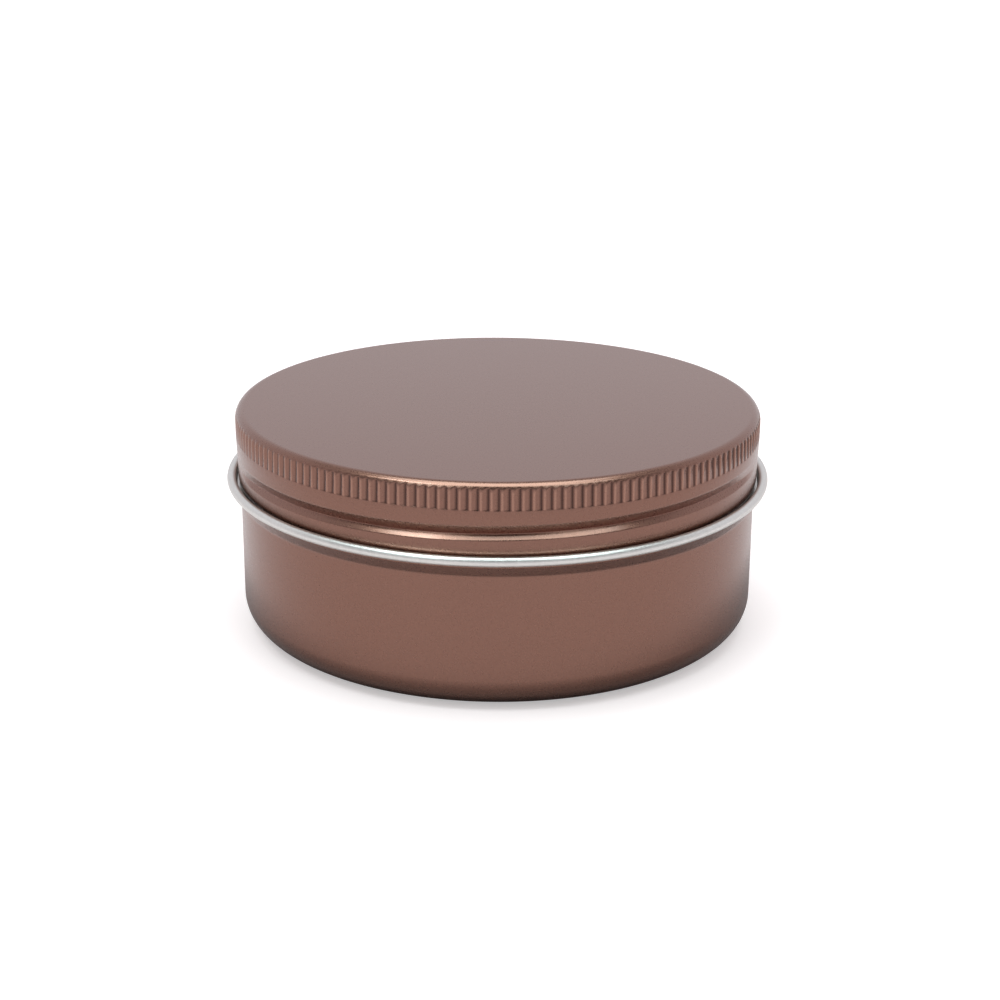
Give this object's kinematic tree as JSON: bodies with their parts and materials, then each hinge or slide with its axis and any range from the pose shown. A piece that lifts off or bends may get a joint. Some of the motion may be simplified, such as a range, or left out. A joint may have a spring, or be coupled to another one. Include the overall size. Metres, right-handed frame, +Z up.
{
  "type": "screw-top shoe polish tin",
  "caption": "Round low metal tin for shoe polish, with a fluted screw lid, a foam liner, a threaded neck ring with an outer bead, and a wax filling.",
  "frame": {"origin": "centre of the foot, on the surface the tin stands on", "axes": "+Z up along the tin's axis and the lid's turning axis; -Y is the front, where the lid's thread groove is measured; +X to the right"},
  "size_m": [0.083, 0.083, 0.0338],
  "materials": {
    "brown_lacquer": "satin",
    "bare_aluminium": "satin",
    "foam": "matte",
    "wax": "satin"
  },
  "bodies": {
    "tin": {"body_shell": "brown_lacquer", "neck_ring": "bare_aluminium", "polish": "wax"},
    "liner": {"lid_liner": "foam"},
    "lid": {"lid_shell": "brown_lacquer"}
  },
  "joints": [
    {"name": "lid_rise", "type": "slide", "parent": "tin", "child": "liner", "axis": [0, 0, 1], "range_m": [0, 0.015]},
    {"name": "lid_turn", "type": "hinge", "parent": "liner", "child": "lid", "pos_m": [0, 0, 0.02], "axis": [0, 0, 1], "range_deg": [0, 1800]}
  ],
  "couplings": [
    {"joint": "lid_rise", "follows": "lid_turn", "m_per_rad": 0.00047746}
  ]
}
